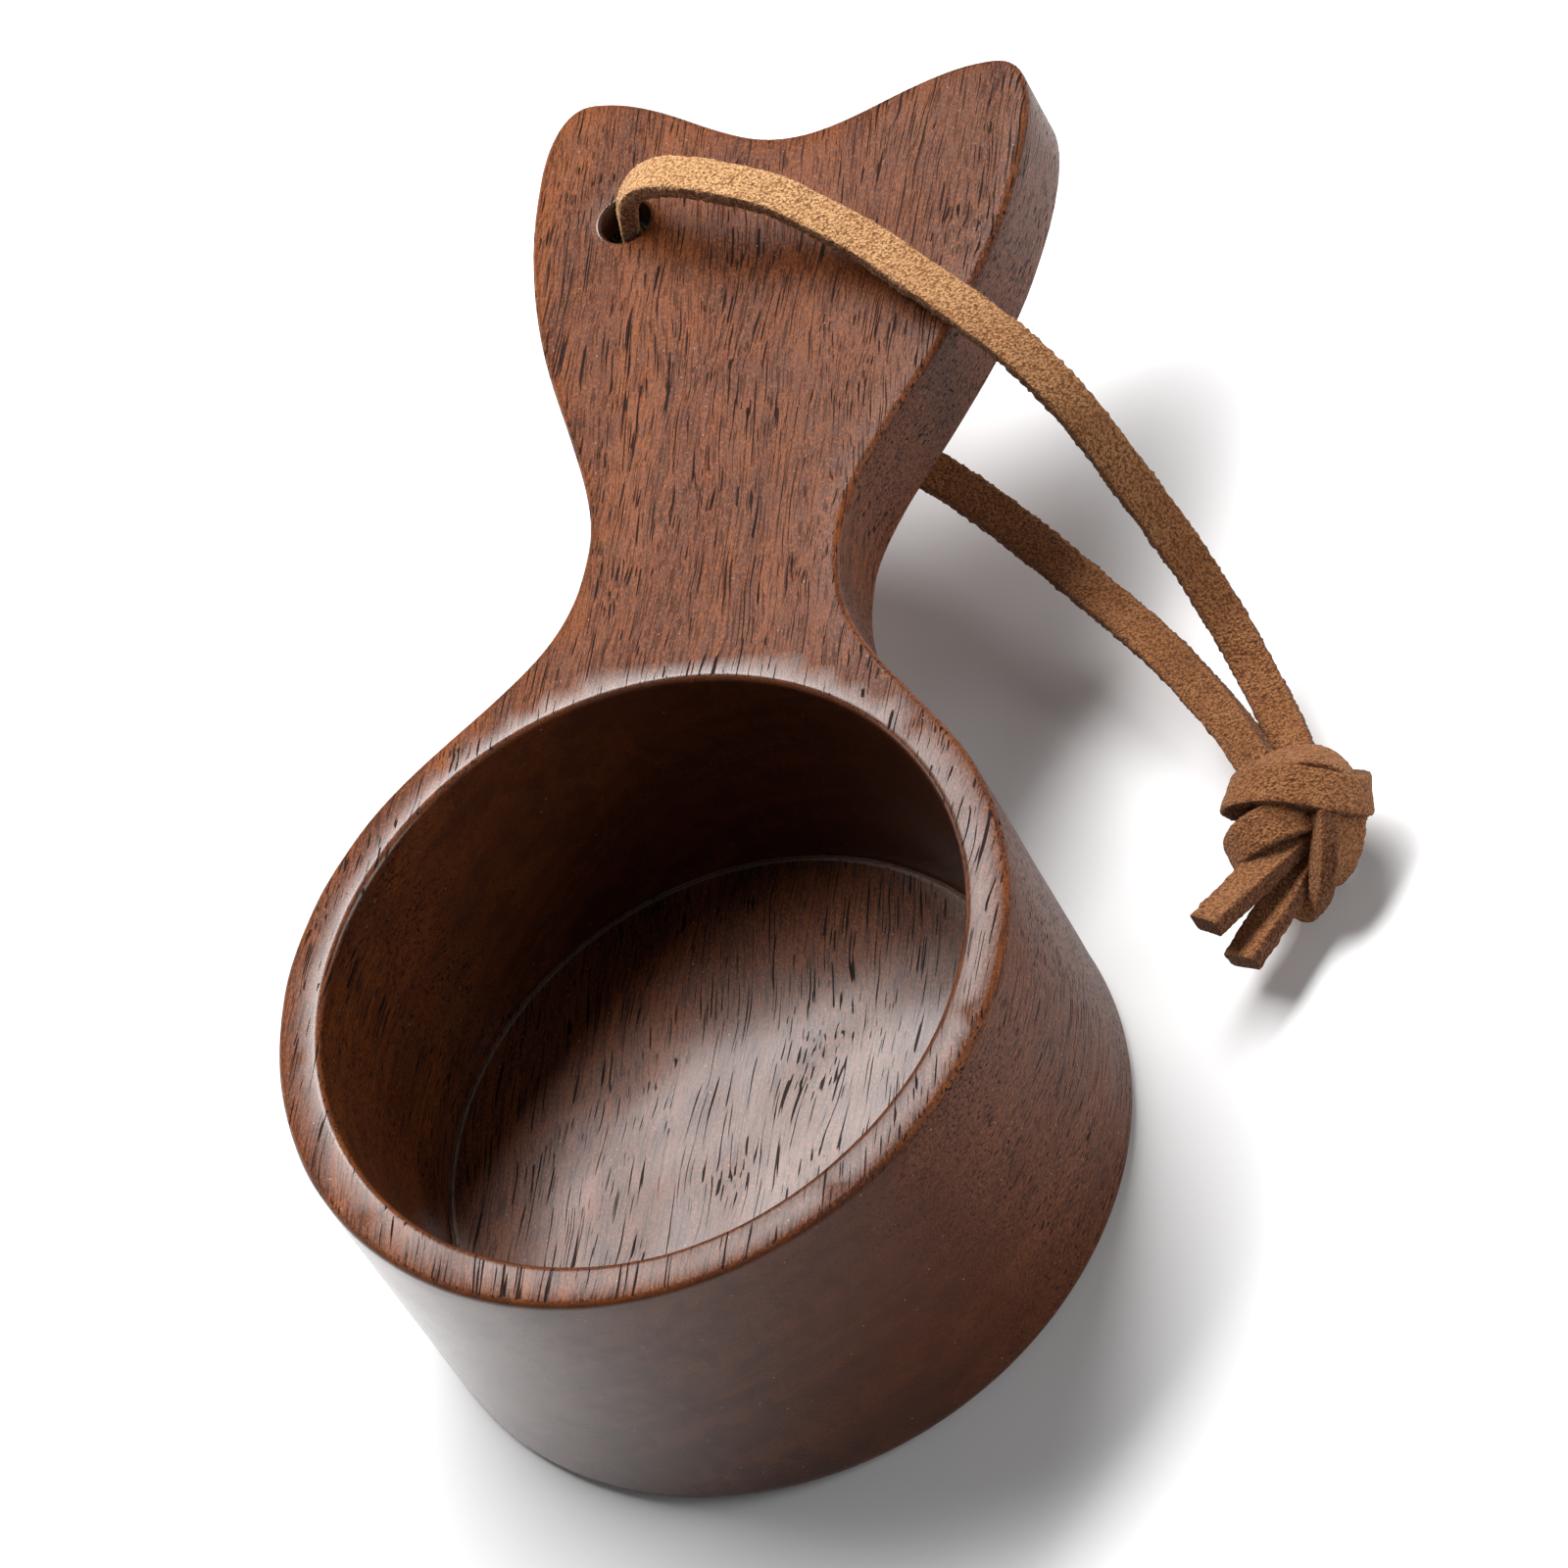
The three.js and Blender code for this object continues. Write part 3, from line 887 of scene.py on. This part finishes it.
def walnutFinish():
    f = Finish("oiledWalnut")
    place = f.place()
    middle = allWays(-0.5)
    wander = f.shifted(woodPattern(f, place, "wander", 2, out=1), middle)
    ripple = f.shifted(woodPattern(f, place, "ripple", 2, out=1), middle)
    grain = f.shifted(place, f.scaled(wander, walnut["wanderBy"]))
    grain = f.shifted(grain, f.scaled(ripple, walnut["rippleBy"]))

    sideways = f.part(grain, "X") - walnut["pithX"]
    upwards = f.part(grain, "Z") - walnut["pithZ"]
    ringRadius = (sideways * sideways + upwards * upwards) ** 0.5
    rings = f.node(
        "ShaderNodeTexNoise", {"noise_dimensions": "1D"},
        {"W": ringRadius * walnut["ringScale"], "Scale": 1.0, "Detail": 3.0, "Roughness": 0.6},
    )
    streaks = woodPattern(f, grain, "streaks", 3, 0.55)
    fibres = woodPattern(f, grain, "fibres", 3, 0.6)
    hairs = woodPattern(f, grain, "hairs", 2, 0.6)
    figure = woodPattern(f, grain, "figure", 2)
    sand = woodPattern(f, grain, "sand", 2, 0.7)

    # pores and sanding marks show on the long grain and fade out on the end grain
    longGrain = 1 - f.ranged(f.marked("endGrain"), 0.35, 0.8) * 0.85
    crowding = (woodPattern(f, grain, "crowding", 1) - 0.5) * 0.16
    longPores = woodPattern(f, grain, "longPores", 0) + crowding
    pores = f.ranged(longPores, 0.675, 0.725) * longGrain
    shortPores = woodPattern(f, f.shifted(grain, (31, 17, 23)), "shortPores", 0)
    finePores = f.ranged(shortPores + crowding * 0.5, 0.60, 0.70) * longGrain

    oil = f.marked("oil")
    heartEdge = f.part(grain, "X") + (streaks - 0.5) * 14
    heart = f.ranged(heartEdge, walnut["heartFrom"], walnut["heartTo"])
    specks = 1 - f.ranged(f.cells(f.scaled(place, allWays(walnut["speckScale"]))), 0.035, 0.06)
    lip = f.marked("floorRim") * f.ranged(hairs, 0.25, 0.5)
    stains = [                         # each goes over the ones before it
        (heart * 0.62, "smoke"),
        (f.ranged(streaks, 0.56, 0.36) * 0.6, "dark"),
        (f.ranged(figure, 0.52, 0.30) * 0.4, "smoke"),
        (f.ranged(fibres, 0.56, 0.38) * 0.5, "dark"),
        (f.ranged(sand, 0.50, 0.68) * 0.75 * longGrain, "rubbedAndLit"),
        (f.ranged(sand, 0.50, 0.32) * 0.75 * longGrain, "dark"),
        # lighter rounded edges: wear and painted light
        (f.marked("edgeRubAndLight") * f.ranged(figure, 0.35, 0.6) * 0.25, "rubbedAndLit"),
        (f.marked("endGrain") * 0.4, "smoke"),
        (oil * 0.42, "soaked"),
        (finePores * 0.5, "pore"),
        (pores * 0.92, "pore"),
        (specks * 0.5, "dustAndHighlight"),
        # the floor's pale lip: dust and a painted highlight
        (lip * 0.75, "dustAndHighlight"),
    ]
    colour = f.mixed(f.ranged(rings, 0.36, 0.66), walnut["brown"], walnut["warm"])
    for share, stain in stains:
        colour = f.mixed(share, colour, walnut[stain])

    coat = f.limited(oil * (0.85 + 0.3 * streaks) - pores * 0.5)
    roughness = walnut["roughness"] + (hairs - 0.5) * 0.2 + pores * 0.3 + finePores * 0.15
    height = fibres * 0.3 + sand * 0.4 - pores - finePores * 0.5
    normal = f.bumped(height, 0.5, walnut["grainDepth"])
    return f.done(
        Base_Color=colour, Roughness=roughness, Specular_IOR_Level=walnut["gloss"],
        Coat_Weight=coat, Coat_Roughness=walnut["coatRoughness"],
        Coat_IOR=walnut["coatIor"], Normal=normal,
    )


def kuksaCup(material):
    bm = cupShape()
    sandByHand(bm)
    piece = finishedPiece("kuksaCup", bm, material, "cup")
    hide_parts("cup_and_handle")
    return piece


# The table and the lamps

studio = {
    "floorColour": (0.86, 0.86, 0.86),
    "floorRoughness": 0.75,
    "floorHalf": 3.0,      # metres
    "world": (0.95, 0.97, 1.0),
    "worldStrength": 0.10,
    "turned": 34.6,        # degrees that every lamp is rolled by
    "lamps": {             # where, aimed at, how wide and deep, how strong
        "backBox": ((-236, 520, 900), (-114, 254, 0), (1100, 330), 23.0),
        "leftBox": ((-900, 150, 160), (0, 0, 20), (700, 300), 1.6),
        "rightBox": ((850, 0, 330), (30, 60, 0), (600, 400), 3.6),
    },
}


def setUpStudio():
    bm = bmesh.new()
    bmesh.ops.create_grid(bm, x_segments=8, y_segments=8, size=studio["floorHalf"])
    mesh = bpy.data.meshes.new("table")
    bm.to_mesh(mesh)
    bm.free()
    floor = bpy.data.objects.new("table", mesh)
    bpy.context.collection.objects.link(floor)
    f = Finish("paleTable")
    mesh.materials.append(f.done(Base_Color=studio["floorColour"], Roughness=studio["floorRoughness"]))
    world = bpy.data.worlds.new("studio")
    world.use_nodes = True
    sky = world.node_tree.nodes["Background"]
    sky.inputs["Color"].default_value = (*studio["world"], 1)
    sky.inputs["Strength"].default_value = studio["worldStrength"]
    bpy.context.scene.world = world
    for name, (where, aim, (wide, deep), power) in studio["lamps"].items():
        lamp = bpy.data.lights.new(name, "AREA")
        lamp.shape = "RECTANGLE"
        lamp.size = wide * mm
        lamp.size_y = deep * mm
        lamp.energy = power
        holder = bpy.data.objects.new(name, lamp)
        holder.location = Vector(where) * mm
        holder.rotation_mode = "QUATERNION"
        aimed = (Vector(aim) - Vector(where)).to_track_quat("-Z", "Y")
        rolled = Euler((0, 0, math.radians(studio["turned"]))).to_quaternion()
        holder.rotation_quaternion = aimed @ rolled
        bpy.context.collection.objects.link(holder)
    bpy.context.scene.view_settings.view_transform = "Standard"


# Putting it together

setUpCamera()
suede = suedeFinish()
upperRun, upperLine = laceRun("laceUpperRun", upperRoute, "lace_upper_run", 1, suede)
lowerRun, lowerLine = laceRun(
    "laceLowerRun", lowerRoute, "lace_lower_run", 2, suede, lace["lowerTwist"])
knotPiece = laceKnot(suede)
endPieces = [
    laceEnd("laceFirstEnd", firstEnd, "lace_first_end", 21, suede),
    laceEnd("laceSecondEnd", secondEnd, "lace_second_end", 22, suede),
]
upperLength = declareCord(
    upperLine)
lowerLength = declareCord(lowerLine)
print(f"lace made: upper run {upperLength:.3f} m, lower run {lowerLength:.3f} m")

kuksaCup(walnutFinish())
print("cup and handle made")

setUpStudio()
print("table and lamps set")
